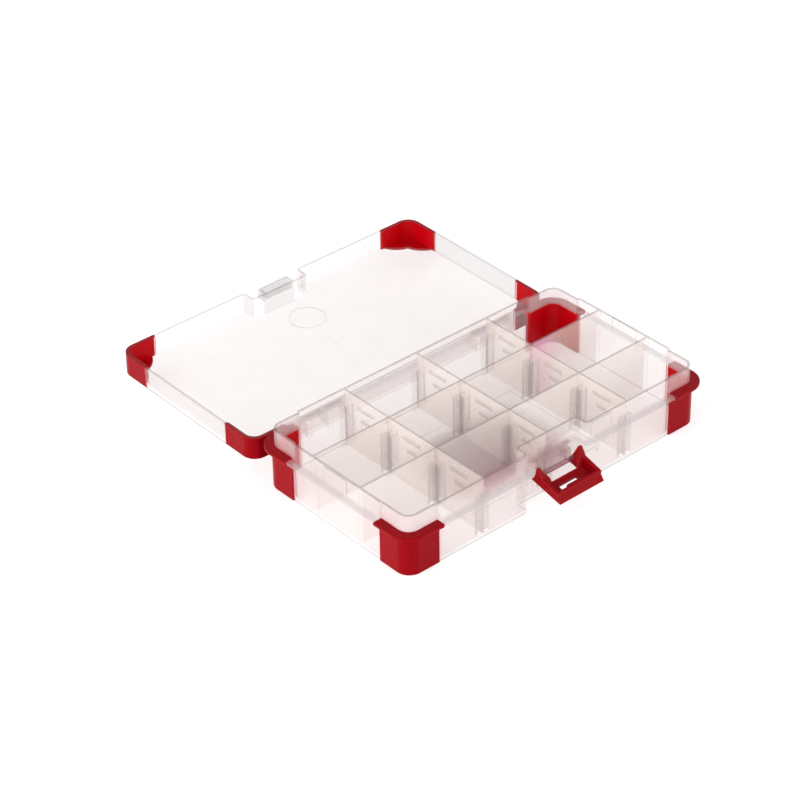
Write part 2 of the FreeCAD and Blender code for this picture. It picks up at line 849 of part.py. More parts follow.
def make_lid():
    """The lid: a panel with a skirt, a bay that matches the tub's, the catch and the hooks."""
    body = new_body("lid_shell")
    pad(body, "lid_block", "XY_Plane", lid_skirt_low, [walled_plan(
        lid_half_length, lid_half_depth, lid_zone, lid_zone, lid_skin,
        lid_bay_half, lid_bay_wall)], lid_top - lid_skirt_low)
    lid_wall = size["lid_wall"]
    pocket(body, "lid_hollow", "XY_Plane", lid_skirt_low, [walled_plan(
        lid_half_length - lid_wall, lid_half_depth - lid_wall,
        lid_zone - lid_wall, lid_zone - lid_wall, lid_skin,
        lid_bay_half + lid_wall, lid_bay_wall - lid_wall)],
        lid_top - size["lid_panel"] - lid_skirt_low, along_normal=True)
    round_lid(body)
    flaps = [lobed_corner(a, b, lid_half_length, lid_half_depth, gap)
             for name, a, b in corner_signs]
    pocket(body, "flap_seats", "XY_Plane", lid_top, flaps, lid_skin)
    add_catch(body)
    add_hooks(body)
    add_ring(body)
    return body


def round_lid(body):
    """Round the upright edges of the skirt, outside and inside."""
    lid_wall = size["lid_wall"]
    outer_x = lid_half_length - lid_skin
    outer_y = lid_half_depth - lid_skin
    radius = size["lid_corner_radius"] - lid_skin
    corners = [(outer_x * a, outer_y * b) for name, a, b in corner_signs]
    round_edges(body, "lid_outer_corners", upright_edges(body.Shape, corners), radius)
    corners = [((outer_x - lid_wall) * a, (outer_y - lid_wall) * b) for name, a, b in corner_signs]
    round_edges(body, "lid_inner_corners", upright_edges(body.Shape, corners), radius - lid_wall)
    corners = both_sides([(lid_bay_half, -lid_half_depth),
                          (lid_bay_half + lid_wall, -(lid_bay_wall - lid_wall))])
    round_edges(body, "lid_bay_corners", upright_edges(body.Shape, corners), size["bay_radius"])
    corners = both_sides([(lid_bay_half, -lid_bay_wall),
                          (lid_bay_half + lid_wall, -(lid_half_depth - lid_wall))])
    round_edges(body, "lid_bay_hollows", upright_edges(body.Shape, corners),
                size["bay_radius"] - lid_wall)


def add_catch(body):
    """The catch on the front of the lid's bay: a box, open below, that the latch hooks over."""
    half = size["catch_half_width"]
    skin = size["catch_wall"]
    root = size["lid_wall"] / 2
    front = lid_bay_wall + size["catch_depth"]
    pad(body, "catch", "XY_Plane", lid_skirt_low, [
        rectangle(-half, half, -front, -(lid_bay_wall - root))], size["catch_height"])
    pocket(body, "catch_hollow", "XY_Plane", lid_skirt_low, [
        rectangle(-(half - skin), half - skin, -(front - skin), -lid_bay_wall)],
        size["catch_height"] - skin, along_normal=True)


def add_hooks(body):
    """Open hooks on the rear of the skirt that press over the hinge pins between the lugs."""
    bore = size["hinge_pin_radius"] + size["hinge_bore_gap"]
    knuckle = size["knuckle_radius"]
    pin = (hinge_y, hinge_z)
    root = lid_half_depth - size["lid_wall"] / 2
    low = lid_skirt_low
    shape = [
        (root, low),
        (hinge_y - knuckle, low),
        (hinge_y - knuckle, hinge_z),
        around(pin, knuckle, 270) + around(pin, knuckle, 225),
        around(pin, knuckle, 360) + around(pin, knuckle, 315),
        around(pin, knuckle, 45) + around(pin, knuckle, 22.5),
        (root, low + size["hook_rise"]),
    ]
    for hinge, side in ((-1, "left"), (1, "right")):
        lugs = lug_places(hinge)
        for number, (before, after) in enumerate(zip(lugs, lugs[1:]), start=1):
            start = before + size["lug_thickness"] / 2 + size["lug_gap"]
            end = after - size["lug_thickness"] / 2 - size["lug_gap"]
            name = "%s_hook_%d" % (side, number)
            pad(body, name, "YZ_Plane", start, [shape], end - start)
            cut_bore(body, name + "_bore", start, end, pin, bore)
            half_mouth = size["hook_mouth"] / 2
            pocket(body, name + "_mouth", "YZ_Plane", start, [rectangle(
                hinge_y - half_mouth, hinge_y + half_mouth,
                hinge_z - knuckle - overrun, hinge_z)], end - start, along_normal=True)


def add_ring(body):
    """A plain round ring raised on the inside of the panel, and the mark of the gate."""
    under = lid_top - size["lid_panel"]
    centre = (size["ring_offset"], -(lid_half_depth - size["ring_from_front"]))
    sketch = new_sketch(body, "ring_outline", "XY_Plane", under - size["ring_height"])
    draw_circle(sketch, centre, size["ring_radius"])
    draw_circle(sketch, centre, size["ring_radius"] - size["ring_line"])
    feature_of(body, "PartDesign::Pad", "ring", sketch,
               size["ring_height"] + size["lid_panel"] / 2, False)
    sketch = new_sketch(body, "lid_gate_outline", "XY_Plane", lid_top - size["lid_panel"] / 2)
    draw_circle(sketch, (zero, zero), size["gate_radius"])
    feature_of(body, "PartDesign::Pad", "lid_gate", sketch,
               size["lid_panel"] / 2 + size["gate_height"], False)


# The latch, built closed

def make_latch():
    """The latch: a tray-shaped plate with two ears that press over the pivot bar."""
    body = new_body("latch")
    half = size["latch_half_width"]
    face = -size["latch_face"]
    plate_back = face + size["latch_plate"]
    rail_back = face + size["rail_height"]
    ear = size["ear_top"]
    heel_arc = tuple(ear * share for share in heel_arc_shares)
    profile = [
        (face, -size["latch_heel"]) + heel_arc,
        (face, size["latch_tip"]),
        (plate_back, size["rail_end"] + size["end_wall"]),
        (plate_back + size["end_wall"] / 2, size["rail_end"] + size["end_wall"] / 3),
        (rail_back, size["rail_end"]),
        (rail_back + size["latch_rail"] / 4, size["window_top"] * rail_root_share),
    ]
    profile += [(ear * out, ear * along) for out, along in ear_shares]
    loop = [tuple(value + place for value, place in zip(point, (pivot_y, pivot_z) * 2))
            for point in profile]
    pad(body, "latch_block", "YZ_Plane", -half, [loop], half * 2)
    cut_tray(body, half, plate_back, rail_back)
    cut_window(body, half)
    cut_slot(body)
    return body


def cut_tray(body, half, plate_back, rail_back):
    """Hollow the inner side of the latch into a tray between its rails and end wall."""
    inner = half - size["latch_rail"]
    deep = rail_back + overrun * 2
    plate_share, rail_share = tray_shares
    tray = [
        (pivot_y + plate_back, pivot_z + size["window_top"] * plate_share),
        (pivot_y + plate_back, pivot_z + size["rail_end"] - size["end_wall"]),
        (pivot_y + deep, pivot_z + size["rail_end"] - size["end_wall"]),
        (pivot_y + deep, pivot_z + size["window_top"] * rail_share),
    ]
    pocket(body, "latch_tray", "YZ_Plane", -inner, [tray], inner * 2, along_normal=True)


def cut_window(body, half):
    """Open the latch between its ears, slope the ears' inner sides and bore them."""
    window = size["housing_half_width"] + size["latch_side_gap"]
    inner = half - size["latch_rail"]
    low = pivot_z - size["latch_heel"] - overrun
    front = pivot_y - size["latch_face"] - overrun
    back = pivot_y + size["ear_top"] + overrun
    pocket(body, "latch_window", "XY_Plane", low, [
        rectangle(-window, window, front, back)], pivot_z + size["window_top"] - low,
        along_normal=True)
    slopes = []
    slope_start, slope_end = [pivot_y + size["ear_top"] * share for share in slope_shares]
    for side in (-1, 1):
        slopes.append([
            ((window - overrun) * side, slope_start),
            (window * side, slope_start),
            (inner * side, slope_end),
            (inner * side, back),
            ((window - overrun) * side, back)])
    pocket(body, "ear_slopes", "XY_Plane", low, slopes,
           pivot_z + size["window_top"] - low, along_normal=True)
    bore = size["pivot_radius"] + size["pivot_bore_gap"]
    end = size["pivot_half_length"] + size["pivot_end_gap"]
    cut_bore(body, "ear_bores", -end, end, (pivot_y, pivot_z), bore)


def cut_slot(body):
    """A slot through the plate with a notch at its left end, and the ridge above it."""
    low = pivot_z + size["slot_low"]
    high = low + size["slot_height"]
    front = pivot_y - size["latch_face"]
    slot = [
        (-size["slot_left"], low),
        (size["slot_right"], low),
        (size["slot_right"], high),
        (-(size["slot_left"] - size["notch_width"]), high),
        (-(size["slot_left"] - size["notch_width"]), high + size["notch_height"]),
        (-size["slot_left"], high + size["notch_height"]),
    ]
    pocket(body, "latch_slot", "XZ_Plane", -(front - overrun), [slot],
           size["latch_plate"] + overrun)
    ridge = rectangle(-(size["slot_left"] - size["notch_width"]), size["slot_right"],
                      front + size["latch_plate"] / 2,
                      front + size["latch_plate"] + size["catch_ridge_reach"])
    pad(body, "catch_ridge", "XY_Plane", high, [ridge], size["catch_ridge_height"])


# The label

def make_label():
    """A plain printed card in the recess under the floor."""
    body = new_body("base_label")
    half = size["label_half_length"]
    pad(body, "label_sheet", "XY_Plane", size["label_recess"] - size["label_thickness"], [
        rectangle(-half, half, -size["label_front"], size["label_rear"])],
        size["label_thickness"])
    return body


def swing(pieces, centre_y, centre_z, degrees):
    """Turn pieces about an axis along X, from closed to where they stand."""
    turn = FreeCAD.Rotation(FreeCAD.Vector(1, 0, 0), degrees)
    centre = FreeCAD.Vector(0, centre_y.number, centre_z.number)
    for piece in pieces:
        piece.Placement = FreeCAD.Placement(FreeCAD.Vector(0, 0, 0), turn, centre)


def check(pieces):
    """Stop if any object failed or any piece is empty, broken or in more than one solid."""
    for thing in document.Objects:
        for state in thing.State:
            if state in ("Invalid", "Error"):
                raise ValueError("%s is %s" % (thing.Name, state))
    for piece in pieces:
        shape = piece.Shape
        if shape.isNull() or not shape.isValid() or len(shape.Solids) != 1:
            raise ValueError(piece.Label + " has no sound solid")


def main():
    """Build every piece, open the lid and the latch, and write one file per piece."""
    tub = make_tub()
    dividers = make_dividers()
    base_guards = [make_base_guard("base_corner_guard_" + name, a, b)
                   for name, a, b in corner_signs]
    lid = make_lid()
    lid_guards = [make_lid_guard("lid_corner_guard_" + name, a, b)
                  for name, a, b in corner_signs]
    latch = make_latch()
    label = make_label()
    document.recompute()
    swing([lid] + lid_guards, hinge_y, hinge_z, -angle["lid_open_angle"].number)
    swing([latch], pivot_y, pivot_z, angle["latch_open_angle"].number)
    pieces = [tub, lid, latch, label] + base_guards + lid_guards + dividers
    document.recompute()
    check(pieces)
    os.makedirs("parts", exist_ok=True)
    for piece in pieces:
        piece.Shape.exportStep(os.path.join("parts", piece.Label + ".step"))
        print(piece.Label, round(piece.Shape.Volume, 1))


main()
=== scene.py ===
"""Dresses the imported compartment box: clear and red polypropylene, the label, the studio and the camera."""
import json
import math

import bpy
import numpy as np
from mathutils import Matrix, Vector


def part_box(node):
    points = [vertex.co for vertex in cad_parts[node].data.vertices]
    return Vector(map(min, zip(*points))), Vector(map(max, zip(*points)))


bl_info = {
    "name": "Compartment box",
    "version": (1, 0, 0),
    "blender": (4, 5, 0),
    "location": "3D View > Sidebar > Compartment box",
    "description": "Finishes a translucent compartment box with red corner guards and latch",
    "category": "Object",
}

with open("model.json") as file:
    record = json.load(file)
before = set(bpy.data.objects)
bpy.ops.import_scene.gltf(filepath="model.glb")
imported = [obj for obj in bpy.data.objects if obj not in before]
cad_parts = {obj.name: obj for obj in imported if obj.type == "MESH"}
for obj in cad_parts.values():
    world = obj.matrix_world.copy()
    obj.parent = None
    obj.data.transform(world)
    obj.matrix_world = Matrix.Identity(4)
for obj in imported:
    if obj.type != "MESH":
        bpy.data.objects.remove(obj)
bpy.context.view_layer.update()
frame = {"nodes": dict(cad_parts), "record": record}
nodes = frame["nodes"]
record = frame["record"]

MM = 0.001

# The nodes that share a finish
tub_node = "base_tub"
lid_node = "lid_shell"
label_node = "base_label"
latch_node = "latch"
divider_nodes = sorted(name for name in nodes if "_divider_" in name)
guard_nodes = sorted(name for name in nodes if "_corner_guard_" in name)
base_guard_nodes = [name for name in guard_nodes if name.startswith("base")]
lid_guard_nodes = [name for name in guard_nodes if name.startswith("lid")]

# Places and half sizes that follow from the sizes in the part's source
case_half_length = 113.0 * MM
case_half_depth = 60.5 * MM
row_line = 20.3 * MM
column_places = [-55.7 * MM, 0.0, 55.7 * MM]
divider_half = 0.65 * MM
pivot_half = 15.0 * MM
pivot_level = 21.6 * MM
pivot_radius = 1.6 * MM
ring_offset = 3.0 * MM
ring_from_front = 32.8 * MM

# A lobe of the flap on a lid guard: the middle and the radius of its disc, from the lid's corner
lobe_middle = (6.4 * MM, -5.7 * MM)
lobe_radius = 17.6 * MM

# Limits that part one feature of the tub or the lid from the next, a little way from its faces
row_half = 0.8 * MM
guide_half = 4.6 * MM
inner_half_depth = 58.5 * MM
floor_limit = 2.2 * MM
foot_line = 1.0 * MM
ledge_depth = 1.7 * MM
rim_depth = 1.2 * MM
divider_rim_depth = 0.2 * MM
housing_half = 15.2 * MM
housing_back = -52.2 * MM
housing_low = 19.5 * MM
catch_half = 12.0 * MM
catch_start = 187.6 * MM
ring_reach = 13.5 * MM
skirt_edge_depth = 3.0 * MM
skirt_line_depth = 8.0 * MM

# Room outside a size or a box, for the faces that lie on it and for the painted red reflection on the wall
# beside a guard
face_room = 0.1 * MM
case_room = 0.5 * MM
guard_room = 0.5 * MM
reflection_room = 3.0 * MM

# How far from the rows and the walls the ends of the dividers carry lines
row_line_reach = 1.2 * MM
wall_line_reach = 1.5 * MM

# Where one look of the plastic passes into the next
reflection_along = (70 * MM, 108 * MM)
reflection_across = (20 * MM, 56 * MM)
rear_reflection_start = 60.0 * MM
rear_reflection_end = 86.0 * MM
ledge_blend = 2 * MM
print_change = (8 * MM, 34 * MM)
print_wander = 9 * MM
print_full_share = 0.35

# Limits for the way a face looks, as the sideways or upward part of its normal
upright_limit = 0.5
upward_limit = 0.6
sideways_limit = 0.7
level_limit = 0.9
downward_limit = -0.8

# How nearly a rounded normal agrees with the face's own where a line begins and where it is full
crease_start = 0.97
crease_full = 0.80

# How much of a line is left on the guide ribs
guide_line_share = 0.55

# The surfaces: how cover grows aslant, how far cover, colour and gloss wander, refraction and grain
slant_power = 2.2
noise_span = (0.3, 0.7)
cover_wander = (0.95, 1.05)
streak_span = (0.3, 0.75)
streak_depth = 0.97
clear_roughness_wander = (-0.06, 0.08)
red_roughness_wander = (-0.05, 0.07)
print_roughness = (0.5, 0.62)
plastic_refraction = 1.49
grain_height = 0.01 * MM

# The floor, the sky and the place that the lamps face
floor_half = 4.0
floor_drop = 0.2 * MM
floor_greys = (0.86, 0.88)
floor_roughness = 0.9
floor_glow = 0.56
sky_rise = (0.05, 0.5)
lamp_target = Vector((0.0, 0.05, 0.02))
white = (1.0, 1.0, 1.0, 1.0)

# The most bounces of light, with enough for every film of clear plastic that a ray can meet
film_bounces = 96
light_bounces = 10

# The nodes' own boxes give the ring on the lid, the rim, the label, the ledge and the dividers' tops
ring_place = (ring_offset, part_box(lid_node)[1][1] - ring_from_front)
rim_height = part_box(tub_node)[1][2]
label_low, label_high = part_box(label_node)
ledge_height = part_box(base_guard_nodes[0])[1][2]
divider_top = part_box(divider_nodes[0])[1][2]

# The open lid lies at a slight tilt, so heights on it are counted from a line at that tilt through its hinge
lid_joint = next(joint for joint in record["behaviour"]["joints"] if joint["child"] == "lid")
lid_axis_place = Vector(lid_joint["pos_m"])
lid_tilt = math.pi - math.radians(abs(lid_joint["range_deg"][0]))
lid_foot = min(vertex.co.z - (vertex.co.y - lid_axis_place.y) * math.tan(lid_tilt)
               for vertex in nodes[lid_node].data.vertices) - lid_axis_place.z


def linear(channel):
    """A display colour value as the linear value that a shader takes."""
    return channel / 12.92 if channel <= 0.04045 else ((channel + 0.055) / 1.055) ** 2.4


def rgba(colour):
    """A display colour as a solid linear colour."""
    return tuple(linear(channel) for channel in colour) + (1.0,)


def colour_property(label, meaning, default):
    """A colour as it looks on a screen."""
    return bpy.props.FloatVectorProperty(
        name=label, description=meaning, subtype="COLOR_GAMMA", size=3, min=0.0, max=1.0,
        default=default)


def share_property(label, meaning, default):
    """A share between 0 and 1."""
    return bpy.props.FloatProperty(
        name=label, description=meaning, subtype="FACTOR", min=0.0, max=1.0, default=default)


def place_property(label, meaning, default):
    """A place in the room."""
    return bpy.props.FloatVectorProperty(
        name=label, description=meaning, subtype="TRANSLATION", unit="LENGTH", size=3,
        default=default)


class BoxColours(bpy.types.PropertyGroup):
    """Colours of the plastics and of the label, as they look on a screen, among them painted shade, painted
    red reflections and a painted highlight.
    """
    clear_body: colour_property(
        "Clear plastic", "Milky colour of the clear polypropylene", (1.0, 0.935, 0.925))
    # Painted shade: a greyer colour on the ledge, the ends of the rows and the lid's short sides
    clear_shade: colour_property(
        "Clear plastic, shaded", "Its colour at the ledge, the ends of the rows and the lid's short sides",
        (0.90, 0.87, 0.87))
    # Painted shade, deeper, on the guide ribs, the raised grip marks and the lid's catch
    clear_deep_shade: colour_property(
        "Clear plastic, deep shade", "Its colour at the guides, the grip marks and the catch",
        (0.78, 0.74, 0.74))
    # Painted reflection of the red guard on the corner of the tub above it
    clear_corner_reflection: colour_property(
        "Clear plastic above a guard", "Its colour in the corners above the guards",
        (0.98, 0.90, 0.905))
    # Painted shade along the sharp edges of the clear plastic, on its rims and at its foot
    clear_edge_shade: colour_property(
        "Clear plastic edge", "Colour of its sharp edges, rims and foot", (0.55, 0.50, 0.49))
    # Painted reflection of the red guards on the clear plastic beside them and toward the corners
    clear_red_reflection: colour_property(
        "Red reflection", "Painted reflection of the red guards on the clear plastic beside them", (1.0, 0.86, 0.88))
    # Painted reflection of the rear right guard on the row wall before it
    clear_rear_reflection: colour_property(
        "Rear reflection", "Colour of the row wall before the rear right guard", (1.0, 0.78, 0.88))
    divider_body: colour_property(
        "Dividers", "Milky colour of the dividers and the row walls", (1.0, 0.957, 0.925))
    # Painted shade and a painted reflection of the red latch on the latch housing
    clear_housing_shade_and_red: colour_property(
        "Latch housing", "Colour of the clear latch housing, with painted shade and red reflection", (0.80, 0.67, 0.68))
    # Painted shade and a painted reflection of the red ears on the pivot bar
    clear_bar_shade_and_red: colour_property(
        "Pivot bar", "Colour of the clear pivot bar between the red ears", (0.60, 0.26, 0.33))
    # Painted shade along the tub's edges beside a guard, tinted by the red behind them
    clear_edge_shade_by_guard: colour_property(
        "Clear edge beside red", "Colour of the tub's edges where they meet a guard",
        (0.80, 0.44, 0.52))
    red_body: colour_property(
        "Red plastic", "Colour of the guards and the latch", (0.63, 0.0, 0.06))
    # Painted highlight along the sharp edges of the red plastic
    red_highlight: colour_property(
        "Red plastic highlight", "Colour of the sharp edges of the red plastic, which catch the light",
        (0.86, 0.30, 0.33))
    red_seen_through: colour_property(
        "Red through plastic", "Colour of a guard that shines through the wall before it",
        (1.0, 0.02, 0.10))
    red_edge: colour_property(
        "Clear edge before red", "Colour of an edge of the lid that has a guard behind it",
        (0.60, 0.0, 0.06))
    label_front: colour_property(
        "Label, front", "Colour of the print on the label's front part", (0.86, 0.34, 0.48))
    label_rear: colour_property(
        "Label, rear", "Colour of the print on the label's rear part", (0.78, 0.69, 0.76))


class BoxFinish(bpy.types.PropertyGroup):
    """How see-through and how glossy the plastics are."""
    tub_cover: share_property(
        "Tub cover", "How much one face of the tub's walls hides, seen square on", 0.16)
    upper_share: share_property(
        "Upper wall share", "Cover of the tub's wall above the ledge, as a share of that below", 0.6)
    divider_cover: share_property(
        "Divider cover", "How much one face of a divider or a row wall hides, seen square on", 0.24)
    lid_cover: share_property(
        "Lid cover", "How much one face of the lid's panel hides, seen square on", 0.10)
    skirt_cover: share_property(
        "Skirt cover", "How much one face of the lid's short sides or of its catch hides", 0.26)
    slant_cover: share_property(
        "Cover aslant", "How much one face of a clear wall hides, seen along the wall", 0.55)
    ledge_cover: share_property(
        "Ledge cover", "How much one face of the ledge or of a row wall's end hides", 0.25)
    guide_cover: share_property(
        "Guide cover", "How much one face of a guide rib hides", 0.27)
    housing_cover: share_property(
        "Housing cover", "How much one face of the latch housing hides", 0.40)
    bar_cover: share_property(
        "Pivot bar cover", "How much one face of the clear pivot bar hides", 0.62)
    floor_cover: share_property(
        "Floor cover", "How much one face of the tub's floor hides", 0.12)
    beside_cover: share_property(
        "Cover beside guards", "How much the wall with the painted red reflection beside a guard hides", 0.25)
    # Cover of the painted reflection of the rear right guard
    rear_reflection_cover: share_property(
        "Haze cover", "How much the haze on the row wall before the rear right guard hides", 0.50)
    corner_cover: share_property(
        "Corner cover", "How much the tub's corners hide above the guards", 0.30)
    seat_cover: share_property(
        "Cover over guards", "How much a face of the wall hides where a guard lies behind", 0.34)
    foot_cover: share_property(
        "Foot cover", "How much the foot of the tub and of the lid's short sides hides", 0.30)
    edge_cover: share_property("Rim cover", "How much the top of a rim hides", 0.42)
    lid_edge_cover: share_property(
        "Skirt edge cover", "How much the edge of the lid's skirt hides", 0.30)
    red_edge_cover: share_property(
        "Edge cover before red", "How much an edge of the lid hides where a guard lies behind", 0.97)
    crease_cover: share_property(
        "Tub line cover", "How much the tub hides along its sharp edges", 0.66)
    soft_crease_cover: share_property(
        "Lid line cover", "How much the lid hides along its sharp edges", 0.36)
    end_line_cover: share_property(
        "Divider line cover", "How much the sharp edges at the ends of the dividers hide", 0.42)
    mark_cover: share_property(
        "Grip mark cover", "How much the raised grip marks on the dividers hide", 0.36)
    crease_width: bpy.props.FloatProperty(
        name="Line width", description="How far the line along a sharp edge reaches from it",
        subtype="DISTANCE", unit="LENGTH", min=0.0, max=0.01, default=0.00042)
    clear_roughness: share_property(
        "Clear roughness", "Roughness of the clear plastic", 0.32)
    clear_specular: share_property(
        "Clear gloss", "Strength of the reflections on the clear plastic", 0.20)
    red_roughness: share_property(
        "Red roughness", "Roughness of the red plastic", 0.30)
    red_specular: share_property(
        "Red gloss", "Strength of the reflections on the red plastic", 0.07)
    # How strong the painted highlight along the red plastic's edges is
    red_highlight_share: share_property(
        "Red highlight share", "How far the sharp edges of the red plastic take the painted highlight", 0.75)
    print_cover: share_property(
        "Print cover", "How much the print in the middle of the clear label hides", 0.84)


class BoxStudio(bpy.types.PropertyGroup):
    """The camera, the sky and the lamps."""
    camera_place: place_property(
        "Camera place", "Where the camera stands", (-0.89254, -0.96558, 0.93310))
    camera_turn: bpy.props.FloatProperty(
        name="Camera turn", description="How far the view is turned from looking along +Y",
        subtype="ANGLE", default=math.radians(-40.616))
    camera_tip: bpy.props.FloatProperty(
        name="Camera tip", description="How far the camera looks down",
        subtype="ANGLE", default=math.radians(34.287))
    camera_roll: bpy.props.FloatProperty(
        name="Camera roll", description="Roll of the camera about its line of sight",
        subtype="ANGLE", default=math.radians(-1.126))
    camera_lens: bpy.props.FloatProperty(
        name="Camera lens", description="Focal length in millimetres on a 36 mm sensor",
        min=10.0, max=500.0, default=124.32)
    sky_low: bpy.props.FloatProperty(
        name="Sky, low", description="Strength of the soft light from the sides",
        min=0.0, max=3.0, default=1.75)
    sky_high: bpy.props.FloatProperty(
        name="Sky, high", description="Strength of the soft light from above",
        min=0.0, max=3.0, default=0.34)
    key_place: place_property(
        "Main lamp place", "Where the soft main lamp hangs", (0.7, -1.2, 0.6))
    key_side: bpy.props.FloatProperty(
        name="Main lamp size", description="Side of the square main lamp",
        subtype="DISTANCE", unit="LENGTH", min=0.01, default=1.0)
    key_power: bpy.props.FloatProperty(
        name="Main lamp", description="Power of the soft main lamp",
        unit="POWER", min=0.0, default=5.0)
    fill_place: place_property(
        "Fill lamp place", "Where the soft lamp on the other side hangs", (-1.3, 0.1, 0.5))
    fill_side: bpy.props.FloatProperty(
        name="Fill lamp size", description="Side of the square lamp on the other side",
        subtype="DISTANCE", unit="LENGTH", min=0.01, default=1.2)
    fill_power: bpy.props.FloatProperty(
        name="Fill lamp", description="Power of the soft lamp on the other side",
        unit="POWER", min=0.0, default=11.0)


# Tools for materials

def new_material(name):
    """An empty node material with a Principled shader, and the tools to wire it."""
    material = bpy.data.materials.new(name)
    material.use_nodes = True
    tree = material.node_tree
    tree.nodes.clear()
    output = tree.nodes.new("ShaderNodeOutputMaterial")
    shader = tree.nodes.new("ShaderNodeBsdfPrincipled")
    tree.links.new(shader.outputs["BSDF"], output.inputs["Surface"])
    return material, tree, shader


def set_input(tree, socket, value):
    """Link the socket to another node's output, or give it a plain value."""
    if isinstance(value, bpy.types.NodeSocket):
        tree.links.new(value, socket)
    else:
        socket.default_value = value


def add_node(tree, kind, inputs, **settings):
    """A node with its input values or links and its settings."""
    node = tree.nodes.new(kind)
    for name, value in settings.items():
        setattr(node, name, value)
    for name, value in inputs.items():
        set_input(tree, node.inputs[name], value)
    return node


def maths(tree, operation, first, second=None, clamp=False):
    """A Math node's result."""
    inputs = {0: first}
    if second is not None:
        inputs[1] = second
    return add_node(tree, "ShaderNodeMath", inputs, operation=operation, use_clamp=clamp).outputs[0]


def ramp(tree, value, low, high, start=0.0, end=1.0):
    """The value carried from low..high to start..end, smooth at both ends."""
    return add_node(tree, "ShaderNodeMapRange", {
        "Value": value, "From Min": low, "From Max": high,
        "To Min": start, "To Max": end}, interpolation_type="SMOOTHSTEP").outputs["Result"]


def mixed_colour(tree, share, first, second):
    """The first colour, passing into the second by the share."""
    node = tree.nodes.new("ShaderNodeMix")
    node.data_type = "RGBA"
    set_input(tree, node.inputs["Factor"], share)
    set_input(tree, node.inputs[6], first)
    set_input(tree, node.inputs[7], second)
    return node.outputs[2]


def noise(tree, coordinates, scale, detail, roughness=0.5):
    """Noise with about `scale` cells to the metre."""
    return add_node(tree, "ShaderNodeTexNoise", {
        "Vector": coordinates, "Scale": scale, "Detail": detail,
        "Roughness": roughness}).outputs["Fac"]


def add_grain(tree, shader, height, strength):
    """Fine relief on the shader, no deeper than the grain's height."""
    node = add_node(tree, "ShaderNodeBump", {
        "Height": height, "Distance": grain_height, "Strength": strength})
    tree.links.new(node.outputs["Normal"], shader.inputs["Normal"])


def polish(tree, shader, clouds, grain, roughness, wander, gloss):
    """The surface that the plastics share: a gloss that wanders with the clouds, and a fine grain."""
    less, more = wander
    shine = ramp(tree, clouds, *noise_span, roughness + less, roughness + more)
    tree.links.new(shine, shader.inputs["Roughness"])
    shader.inputs["IOR"].default_value = plastic_refraction
    shader.inputs["Specular IOR Level"].default_value = gloss
    add_grain(tree, shader, grain, strength=0.5)


def object_places(tree):
    """Object coordinates, which stay with the piece as it moves."""
    return tree.nodes.new("ShaderNodeTexCoord").outputs["Object"]


def true_normal(tree):
    """The face's own direction."""
    return tree.nodes.new("ShaderNodeNewGeometry").outputs["True Normal"]


def split_up(tree, vector):
    """The X, Y and Z of a vector."""
    return add_node(tree, "ShaderNodeSeparateXYZ", {"Vector": vector}).outputs


def creases(tree):
    """1 along sharp edges, where a rounded normal would lean away from the face's own."""
    width = bpy.context.scene.box_finish.crease_width
    soft = add_node(tree, "ShaderNodeBevel", {"Radius": width}, samples=6).outputs["Normal"]
    lean = add_node(tree, "ShaderNodeVectorMath", {0: soft, 1: true_normal(tree)},
                    operation="DOT_PRODUCT").outputs["Value"]
    return ramp(tree, maths(tree, "ABSOLUTE", lean), crease_start, crease_full)


def give(material, names):
    """Put the material on every slot of the named nodes."""
    for name in names:
        mesh = nodes[name].data
        if not mesh.materials:
            mesh.materials.append(material)
        for index in range(len(mesh.materials)):
            mesh.materials[index] = material


# Masks: 1 in a place, 0 elsewhere

def both(tree, *masks):
    """1 where every mask is 1."""
    result = 1.0
    for mask in masks:
        result = maths(tree, "MULTIPLY", result, mask)
    return result


def either(tree, *masks):
    """1 where any mask is 1."""
    result = 0.0
    for mask in masks:
        result = maths(tree, "MAXIMUM", result, mask)
    return result


def without(tree, mask):
    """1 where the mask is 0."""
    return maths(tree, "SUBTRACT", 1.0, mask)


def below(tree, value, limit):
    """1 where the value is less than the limit."""
    return maths(tree, "LESS_THAN", value, limit)


def beyond(tree, value, limit):
    """1 where the value is more than the limit."""
    return maths(tree, "GREATER_THAN", value, limit)


def between(tree, value, low, high):
    """1 where the value lies between low and high."""
    return both(tree, beyond(tree, value, low), below(tree, value, high))


def distance(tree, value, place):
    """How far the value lies from a place, on either side."""
    return maths(tree, "ABSOLUTE", maths(tree, "SUBTRACT", value, place))


def in_disc(tree, values, middle, radius):
    """1 in a disc: two squared distances from its middle add up to less than the squared radius."""
    squares = [maths(tree, "POWER", distance(tree, value, place), 2.0)
               for value, place in zip(values, middle)]
    return below(tree, maths(tree, "ADD", *squares), radius ** 2)


def in_boxes(tree, split, names, slack, letters="XYZ"):
    """1 inside the boxes of the named nodes, with some slack around them."""
    inside = 0.0
    for name in names:
        low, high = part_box(name)
        here = [between(tree, split[letter], low["XYZ".index(letter)] - slack,
                        high["XYZ".index(letter)] + slack) for letter in letters]
        inside = either(tree, inside, both(tree, *here))
    return inside


def upright(tree, normal):
    """1 on faces that stand upright."""
    return below(tree, maths(tree, "ABSOLUTE", normal["Z"]), upright_limit)


def upward_above(tree, height, normal, level):
    """1 on faces that look up where the height is more than the level."""
    return both(tree, beyond(tree, height, level), beyond(tree, normal["Z"], upward_limit))


